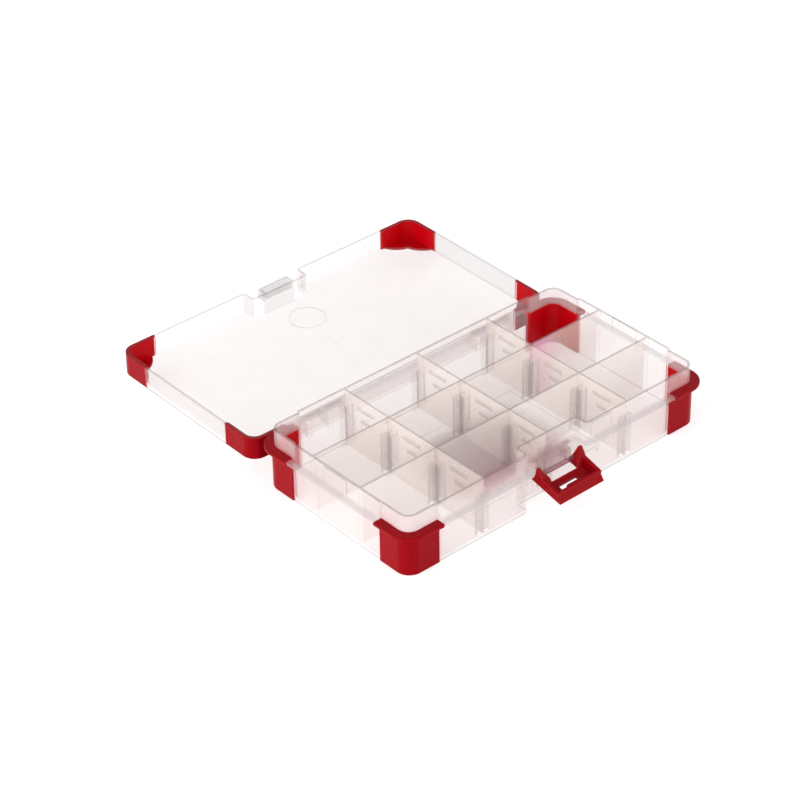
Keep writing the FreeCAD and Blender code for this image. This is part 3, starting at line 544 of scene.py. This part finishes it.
def clear_plastic(name, film_cover, layers, share=None):
    """Clear polypropylene: a thin milky film that hides more when seen aslant.

    film_cover is how much one face hides when it is seen square on, and
    share(tree, split) is the part of it that is left at each place.
    layers(tree, split, normal, crease) gives (mask, colour, cover) in order.
    A mask of 1 brings in the whole colour and cover, and a cover of None
    leaves the cover as it is.
    """
    colours = bpy.context.scene.box_colours
    finish = bpy.context.scene.box_finish
    material, tree, shader = new_material(name)
    places = object_places(tree)
    split = split_up(tree, places)
    normal = split_up(tree, true_normal(tree))
    facing = add_node(tree, "ShaderNodeLayerWeight", {"Blend": 0.5}).outputs["Facing"]
    slant = maths(tree, "POWER", facing, slant_power)
    cover = ramp(tree, slant, 0.0, 1.0, film_cover, finish.slant_cover)
    cloud = noise(tree, places, scale=45.0, detail=4.0)
    cover = maths(tree, "MULTIPLY", cover, ramp(tree, cloud, *noise_span, *cover_wander))
    if share:
        cover = maths(tree, "MULTIPLY", cover, share(tree, split))
    colour = rgba(colours.clear_body)
    for mask, here, most in layers(tree, split, normal, creases(tree)):
        colour = mixed_colour(tree, mask, colour, rgba(here))
        if most is not None:
            span = maths(tree, "SUBTRACT", most, cover)
            cover = maths(tree, "ADD", cover, maths(tree, "MULTIPLY", span, mask), clamp=True)
    tree.links.new(colour, shader.inputs["Base Color"])
    tree.links.new(cover, shader.inputs["Alpha"])
    clouds = noise(tree, places, scale=160.0, detail=3.0)
    grain = noise(tree, places, scale=2600.0, detail=2.0)
    polish(tree, shader, clouds, grain, finish.clear_roughness, clear_roughness_wander,
           finish.clear_specular)
    return material


class BOX_OT_tub_plastic(bpy.types.Operator):
    """Finish the tub in clear plastic, with painted shade on the rims and ledge and a painted red reflection
    in the corners
    """
    bl_idname = "compartment_box.tub_plastic"
    bl_label = "Tub plastic"

    def execute(self, context):
        cover = context.scene.box_finish.tub_cover
        give(clear_plastic("clear plastic of the tub", cover, self.layers, self.share), [tub_node])
        return {"FINISHED"}

    @staticmethod
    def share(tree, split):
        """Less cover above the ledge than below it."""
        least = bpy.context.scene.box_finish.upper_share
        return ramp(tree, split["Z"], ledge_height - ledge_blend, ledge_height, 1.0, least)

    @classmethod
    def layers(cls, tree, split, normal, crease):
        """The walls, then what stands out from them, the guards behind them, the edges and the bar."""
        stands = upright(tree, normal)
        guides = cls.guides(tree, split, stands)
        near_guards = in_boxes(tree, split, base_guard_nodes, guard_room)
        lines = both(tree, crease, ramp(tree, guides, 0.0, 1.0, 1.0, guide_line_share))
        return [
            *cls.wall_layers(tree, split, stands, guides),
            *cls.outside_layers(tree, split),
            *cls.guard_layers(tree, split, stands, near_guards),
            *cls.edge_layers(tree, split, normal, lines, near_guards),
            cls.bar_layer(tree, split),
        ]

    @staticmethod
    def guides(tree, split, stands):
        """1 on the guide ribs that hold the dividers."""
        columns = [below(tree, distance(tree, split["X"], place), guide_half)
                   for place in column_places]
        return both(tree, either(tree, *columns), stands,
                    below(tree, distance(tree, split["Y"], 0.0), inner_half_depth),
                    below(tree, split["Z"], ledge_height))

    @staticmethod
    def wall_layers(tree, split, stands, guides):
        """The painted red reflection toward the corners, the floor, the rows with the painted reflection of
        the rear right guard, and painted shade on the guides and the rows' ends.
        """
        colours = bpy.context.scene.box_colours
        finish = bpy.context.scene.box_finish
        away_x = distance(tree, split["X"], 0.0)
        away_y = distance(tree, split["Y"], 0.0)
        # Painted reflection of the red guards, which grows toward the tub's corners
        corner_reflection = both(tree, ramp(tree, away_x, *reflection_along), ramp(tree, away_y, *reflection_across))
        floor = both(tree, without(tree, stands), below(tree, split["Z"], floor_limit))
        on_rows = both(tree, below(tree, distance(tree, away_y, row_line), row_half), stands)
        rows = both(tree, on_rows, below(tree, away_x, case_half_length - row_half))
        row_ends = both(tree, on_rows, beyond(tree, away_x, case_half_length - row_half))
        # Painted reflection of the rear right guard, on the row wall before it
        reflection = both(tree, rows, beyond(tree, split["Y"], 0.0),
                    beyond(tree, split["X"], column_places[-1]),
                    ramp(tree, split["X"], rear_reflection_end, rear_reflection_start))
        return [
            (corner_reflection, colours.clear_red_reflection, None),
            (floor, colours.clear_body, finish.floor_cover),
            (rows, colours.divider_body, finish.divider_cover),
            (reflection, colours.clear_rear_reflection, finish.rear_reflection_cover),
            # Painted shade on the guide ribs
            (guides, colours.clear_deep_shade, finish.guide_cover),
            # Painted shade on the ends of the rows
            (row_ends, colours.clear_shade, finish.ledge_cover),
        ]

    @staticmethod
    def outside_layers(tree, split):
        """The ledge round the tub and the latch housing in its bay, with painted shade on both and a painted
        red reflection on the housing.
        """
        colours = bpy.context.scene.box_colours
        finish = bpy.context.scene.box_finish
        away_x = distance(tree, split["X"], 0.0)
        away_y = distance(tree, split["Y"], 0.0)
        outside = either(tree, beyond(tree, away_x, case_half_length + case_room),
                         beyond(tree, away_y, case_half_depth + case_room))
        ledge = both(tree, outside, beyond(tree, split["Z"], ledge_height - ledge_depth))
        housing = both(tree, below(tree, away_x, housing_half),
                       below(tree, split["Y"], housing_back),
                       between(tree, split["Z"], housing_low, ledge_height + face_room))
        return [
            # Painted shade on the ledge
            (ledge, colours.clear_shade, finish.ledge_cover),
            # Painted shade and a painted red reflection on the latch housing
            (housing, colours.clear_housing_shade_and_red, finish.housing_cover),
        ]

    @staticmethod
    def guard_layers(tree, split, stands, near_guards):
        """The wall beside a guard and the corner above a guard, each with a painted red reflection, and the
        wall with a guard behind it.
        """
        colours = bpy.context.scene.box_colours
        finish = bpy.context.scene.box_finish
        beside = both(tree, in_boxes(tree, split, base_guard_nodes, reflection_room), stands)
        seats = both(tree, near_guards, stands)
        above = both(tree, in_boxes(tree, split, base_guard_nodes, 0.0, "XY"),
                     beyond(tree, split["Z"], ledge_height))
        return [
            # Painted red reflection on the wall beside a guard
            (beside, colours.clear_red_reflection, finish.beside_cover),
            (seats, colours.red_seen_through, finish.seat_cover),
            # Painted red reflection on the corner above a guard
            (above, colours.clear_corner_reflection, finish.corner_cover),
        ]

    @staticmethod
    def edge_layers(tree, split, normal, lines, near_guards):
        """Painted shade on the foot, the rim and the sharp edges, tinted red on those of the edges that meet
        a guard.
        """
        colours = bpy.context.scene.box_colours
        finish = bpy.context.scene.box_finish
        foot = both(tree, upright(tree, normal), below(tree, split["Z"], foot_line))
        rim = upward_above(tree, split["Z"], normal, rim_height - rim_depth)
        by_guards = both(tree, lines, near_guards, below(tree, split["Z"], ledge_height))
        return [
            # Painted shade on the foot, the rim and along the sharp edges
            (foot, colours.clear_edge_shade, finish.foot_cover),
            (rim, colours.clear_edge_shade, finish.edge_cover),
            (lines, colours.clear_edge_shade, finish.crease_cover),
            # Painted shade, tinted red, along the edges that meet a guard
            (by_guards, colours.clear_edge_shade_by_guard, finish.crease_cover),
        ]

    @staticmethod
    def bar_layer(tree, split):
        """The round pivot bar that carries the latch, with painted shade and a painted red reflection."""
        within = below(tree, distance(tree, split["X"], 0.0), pivot_half)
        disc = in_disc(tree, (split["Y"], split["Z"]), (-case_half_depth, pivot_level),
                       pivot_radius + face_room)
        scene = bpy.context.scene
        # Painted shade and a painted red reflection on the bar
        return both(tree, within, disc), scene.box_colours.clear_bar_shade_and_red, scene.box_finish.bar_cover


class BOX_OT_divider_plastic(bpy.types.Operator):
    """Finish the dividers in clear plastic, with painted shade on their top edges and grip marks"""
    bl_idname = "compartment_box.divider_plastic"
    bl_label = "Divider plastic"

    def execute(self, context):
        cover = context.scene.box_finish.divider_cover
        give(clear_plastic("clear plastic of the dividers", cover, self.layers), divider_nodes)
        return {"FINISHED"}

    @staticmethod
    def layers(tree, split, normal, crease):
        """The dividers' own tint, then painted shade on their grip marks, along the sharp edges at their ends
        and on their tops.
        """
        colours = bpy.context.scene.box_colours
        finish = bpy.context.scene.box_finish
        plates = [below(tree, distance(tree, split["X"], place), divider_half + face_room)
                  for place in column_places]
        marks = without(tree, either(tree, *plates))
        away_y = distance(tree, split["Y"], 0.0)
        near_rows = below(tree, distance(tree, away_y, row_line), row_half + row_line_reach)
        near_walls = beyond(tree, away_y, inner_half_depth - wall_line_reach)
        lines = both(tree, crease, either(tree, near_rows, near_walls))
        tops = upward_above(tree, split["Z"], normal, divider_top - divider_rim_depth)
        return [
            (1.0, colours.divider_body, None),
            # Painted shade on the grip marks, along the sharp edges at the ends and on the tops
            (marks, colours.clear_deep_shade, finish.mark_cover),
            (lines, colours.clear_edge_shade, finish.end_line_cover),
            (tops, colours.clear_edge_shade, finish.edge_cover),
        ]


class BOX_OT_lid_plastic(bpy.types.Operator):
    """Finish the lid in clear plastic, with painted shade on the skirt edge and the guards showing through"""
    bl_idname = "compartment_box.lid_plastic"
    bl_label = "Lid plastic"

    def execute(self, context):
        cover = context.scene.box_finish.lid_cover
        give(clear_plastic("clear plastic of the lid", cover, self.layers), [lid_node])
        return {"FINISHED"}

    @classmethod
    def layers(cls, tree, split, normal, crease):
        """Painted shade on the short sides and the catch, the guards behind the plastic, and painted shade on
        the foot, the edge and the lines.
        """
        colours = bpy.context.scene.box_colours
        finish = bpy.context.scene.box_finish
        height = cls.above_hinge(tree, split)
        sides = beyond(tree, maths(tree, "ABSOLUTE", normal["X"]), sideways_limit)
        level = beyond(tree, maths(tree, "ABSOLUTE", normal["Z"]), level_limit)
        beside = in_boxes(tree, split, lid_guard_nodes, guard_room, "XY")
        seats = either(tree, both(tree, cls.lobes(tree, split), level),
                       both(tree, beside, upright(tree, normal)))
        catch = both(tree, below(tree, distance(tree, split["X"], 0.0), catch_half),
                     beyond(tree, split["Y"], catch_start))
        edge = upward_above(tree, height, normal, -skirt_edge_depth)
        sharp = both(tree, crease, cls.clear_of_foot(tree, split, height))
        return [
            # Painted shade on the short sides, the catch, the foot, the skirt's edge and the sharp edges,
            # dark red where a guard lies behind an edge
            (sides, colours.clear_shade, finish.skirt_cover),
            (catch, colours.clear_deep_shade, finish.skirt_cover),
            (seats, colours.red_seen_through, finish.seat_cover),
            (cls.foot(tree, split, normal, height), colours.clear_edge_shade, finish.foot_cover),
            (edge, colours.clear_edge_shade, finish.lid_edge_cover),
            (sharp, colours.clear_edge_shade, finish.soft_crease_cover),
            (both(tree, either(tree, edge, sharp), beside), colours.red_edge, finish.red_edge_cover),
        ]

    @staticmethod
    def above_hinge(tree, split):
        """Height above the hinge line, with the rise of the tilted lid taken off."""
        out = maths(tree, "SUBTRACT", split["Y"], lid_axis_place.y)
        rise = maths(tree, "MULTIPLY", out, math.tan(lid_tilt))
        return maths(tree, "SUBTRACT", maths(tree, "SUBTRACT", split["Z"], rise), lid_axis_place.z)

    @staticmethod
    def foot(tree, split, normal, height):
        """1 on the edge between the panel and the two short sides of the skirt."""
        low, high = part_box(lid_node)
        away = distance(tree, split["X"], (low[0] + high[0]) / 2)
        outside = beyond(tree, away, (high[0] - low[0]) / 2 - foot_line)
        lowest = below(tree, height, lid_foot + foot_line)
        return both(tree, outside, lowest, beyond(tree, normal["Z"], downward_limit))

    @staticmethod
    def clear_of_foot(tree, split, height):
        """1 high on the skirt and round the ring, but not where the skirt meets the panel."""
        ring = in_disc(tree, (split["X"], split["Y"]), ring_place, ring_reach)
        return either(tree, beyond(tree, height, -skirt_line_depth), ring)

    @staticmethod
    def lobes(tree, split):
        """1 over the two lobes of the flap at each corner of the lid.

        A lobe is a disc whose middle lies on one side of the corner's
        diagonal, and the other lobe is its mirror image in that diagonal.
        """
        low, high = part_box(lid_node)
        depths = []
        for axis, letter in enumerate("XY"):
            middle = (low[axis] + high[axis]) / 2
            away = distance(tree, split[letter], middle)
            depths.append(maths(tree, "SUBTRACT", high[axis] - middle, away))
        discs = [in_disc(tree, pair, lobe_middle, lobe_radius) for pair in (depths, depths[::-1])]
        return either(tree, *discs)


class BOX_OT_red_plastic(bpy.types.Operator):
    """Finish the corner guards and the latch in glossy red plastic, with a painted highlight along their
    sharp edges
    """
    bl_idname = "compartment_box.red_plastic"
    bl_label = "Red plastic"

    def execute(self, context):
        colours = context.scene.box_colours
        finish = context.scene.box_finish
        material, tree, shader = new_material("red plastic of the guards and the latch")
        places = object_places(tree)
        red = rgba(colours.red_body)
        deep = tuple(channel * streak_depth for channel in red[:3]) + (1.0,)
        streaks = noise(tree, places, scale=90.0, detail=5.0, roughness=0.6)
        colour = mixed_colour(tree, ramp(tree, streaks, *streak_span), red, deep)
        # Painted highlight along the sharp edges
        edges = maths(tree, "MULTIPLY", creases(tree), finish.red_highlight_share)
        colour = mixed_colour(tree, edges, colour, rgba(colours.red_highlight))
        tree.links.new(colour, shader.inputs["Base Color"])
        clouds = noise(tree, places, scale=240.0, detail=4.0)
        grain = noise(tree, places, scale=2400.0, detail=2.0)
        polish(tree, shader, clouds, grain, finish.red_roughness, red_roughness_wander,
               finish.red_specular)
        give(material, guard_nodes + [latch_node])
        return {"FINISHED"}


class BOX_OT_label_print(bpy.types.Operator):
    """Finish the clear label with a plain print that fades out toward its sides"""
    bl_idname = "compartment_box.label_print"
    bl_label = "Label print"

    def execute(self, context):
        colours = context.scene.box_colours
        material, tree, shader = new_material("plain print of the label")
        places = object_places(tree)
        split = split_up(tree, places)
        soft = maths(tree, "MULTIPLY", noise(tree, places, scale=30.0, detail=3.0), 2 * print_wander)
        along = maths(tree, "ADD", split["Y"], maths(tree, "SUBTRACT", soft, print_wander))
        passing = ramp(tree, along, *[label_low[1] + change for change in print_change])
        colour = mixed_colour(tree, passing, rgba(colours.label_front), rgba(colours.label_rear))
        tree.links.new(colour, shader.inputs["Base Color"])
        cover = maths(tree, "MULTIPLY", self.inside(tree, split), context.scene.box_finish.print_cover)
        tree.links.new(cover, shader.inputs["Alpha"])
        fibres = noise(tree, places, scale=1800.0, detail=4.0)
        tree.links.new(ramp(tree, fibres, *noise_span, *print_roughness), shader.inputs["Roughness"])
        add_grain(tree, shader, fibres, strength=0.6)
        give(material, [label_node])
        return {"FINISHED"}

    @staticmethod
    def inside(tree, split):
        """1 in the middle of the label, passing to 0 at its four sides."""
        share = 1.0
        for axis, letter in enumerate("XY"):
            middle = (label_low[axis] + label_high[axis]) / 2
            half = (label_high[axis] - label_low[axis]) / 2
            away = distance(tree, split[letter], middle)
            share = maths(tree, "MULTIPLY", share, ramp(tree, away, half, half * print_full_share))
        return share


class BOX_OT_studio(bpy.types.Operator):
    """Set up the floor, the sky, the lamps and the camera"""
    bl_idname = "compartment_box.studio"
    bl_label = "Studio"

    def execute(self, context):
        studio = context.scene.box_studio
        self.add_floor()
        self.add_sky(context.scene, studio)
        self.add_lamp("main lamp", Vector(studio.key_place), studio.key_side, studio.key_power)
        self.add_lamp("fill lamp", Vector(studio.fill_place), studio.fill_side, studio.fill_power)
        self.add_camera(context.scene, studio)
        context.scene.view_settings.view_transform = "Standard"
        context.scene.cycles.transparent_max_bounces = film_bounces
        context.scene.cycles.max_bounces = light_bounces
        return {"FINISHED"}

    @staticmethod
    def add_floor():
        """A wide pale square a little below the box, which glows for the camera so that it looks white.

        Its four corners lie half its side away from the middle along X and
        along Y, all at the same small depth below zero.
        """
        corners = np.array([(-1, -1), (1, -1), (1, 1), (-1, 1)]) * floor_half
        level = np.full((4, 1), -floor_drop)
        mesh = bpy.data.meshes.new("floor")
        mesh.from_pydata(np.hstack([corners, level]).tolist(), [], [(0, 1, 2, 3)])
        floor = bpy.data.objects.new("floor", mesh)
        bpy.context.scene.collection.objects.link(floor)
        material, tree, shader = new_material("white floor")
        cloud = noise(tree, object_places(tree), scale=3.0, detail=2.0)
        colour = mixed_colour(tree, cloud, *[(grey, grey, grey, 1.0) for grey in floor_greys])
        tree.links.new(colour, shader.inputs["Base Color"])
        shader.inputs["Roughness"].default_value = floor_roughness
        glow = maths(tree, "MULTIPLY", seen_directly(tree), floor_glow)
        tree.links.new(glow, shader.inputs["Emission Strength"])
        shader.inputs["Emission Color"].default_value = white
        mesh.materials.append(material)

    @staticmethod
    def add_sky(scene, studio):
        """A sky that is brighter at the sides than overhead, and white where it is seen."""
        world = bpy.data.worlds.new("soft sky")
        scene.world = world
        world.use_nodes = True
        tree = world.node_tree
        background = tree.nodes["Background"]
        background.inputs["Color"].default_value = white
        way = tree.nodes.new("ShaderNodeTexCoord").outputs["Generated"]
        around = ramp(tree, split_up(tree, way)["Z"], *sky_rise, studio.sky_low, studio.sky_high)
        strength = add_node(tree, "ShaderNodeMapRange", {
            "Value": seen_directly(tree), "To Min": around, "To Max": 1.0}).outputs["Result"]
        tree.links.new(strength, background.inputs["Strength"])

    @staticmethod
    def add_lamp(name, place, side, power):
        """A square soft lamp that faces the box."""
        lamp = bpy.data.lights.new(name, "AREA")
        lamp.shape = "SQUARE"
        lamp.size = side
        lamp.energy = power
        holder = bpy.data.objects.new(name, lamp)
        holder.location = place
        holder.rotation_euler = (lamp_target - place).to_track_quat("-Z", "Y").to_euler()
        bpy.context.scene.collection.objects.link(holder)

    @staticmethod
    def add_camera(scene, studio):
        """The camera, from its turn, tip and roll."""
        lens = bpy.data.cameras.new("camera")
        lens.lens = studio.camera_lens
        lens.sensor_width = 36.0
        lens.clip_end = 100.0
        turn = Matrix.Rotation(studio.camera_turn, 4, "Z")
        tip = Matrix.Rotation(math.pi / 2 - studio.camera_tip, 4, "X")
        roll = Matrix.Rotation(studio.camera_roll, 4, "Z")
        camera = bpy.data.objects.new("camera", lens)
        camera.matrix_world = Matrix.Translation(studio.camera_place) @ turn @ tip @ roll
        scene.collection.objects.link(camera)
        scene.camera = camera


def seen_directly(tree):
    """1 for rays straight from the camera, through clear plastic or off a glossy face, else 0."""
    path = tree.nodes.new("ShaderNodeLightPath").outputs
    return either(tree, path["Is Camera Ray"], path["Is Transmission Ray"], path["Is Glossy Ray"])


class BOX_PT_panel(bpy.types.Panel):
    """Lists the colours, the finish and the studio, and a button for each group of pieces"""
    bl_idname = "BOX_PT_panel"
    bl_label = "Compartment box"
    bl_space_type = "VIEW_3D"
    bl_region_type = "UI"
    bl_category = "Compartment box"

    def draw(self, context):
        for group, scene_name in property_groups.items():
            column = self.layout.column()
            for name in group.__annotations__:
                column.prop(getattr(context.scene, scene_name), name)
        for operator in operators:
            self.layout.operator(operator.bl_idname)


property_groups = {
    BoxColours: "box_colours",
    BoxFinish: "box_finish",
    BoxStudio: "box_studio",
}
operators = [
    BOX_OT_tub_plastic,
    BOX_OT_divider_plastic,
    BOX_OT_lid_plastic,
    BOX_OT_red_plastic,
    BOX_OT_label_print,
    BOX_OT_studio,
]


def register():
    """Register the classes and hang the property groups on the scene."""
    for group, name in property_groups.items():
        bpy.utils.register_class(group)
        setattr(bpy.types.Scene, name, bpy.props.PointerProperty(type=group))
    for operator in operators:
        bpy.utils.register_class(operator)
    bpy.utils.register_class(BOX_PT_panel)


def unregister():
    """Undo register."""
    bpy.utils.unregister_class(BOX_PT_panel)
    for operator in reversed(operators):
        bpy.utils.unregister_class(operator)
    for group, name in property_groups.items():
        delattr(bpy.types.Scene, name)
        bpy.utils.unregister_class(group)


def main():
    """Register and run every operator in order."""
    register()
    for operator in operators:
        group, name = operator.bl_idname.split(".")
        getattr(getattr(bpy.ops, group), name)()


if __name__ == "__main__":
    main()
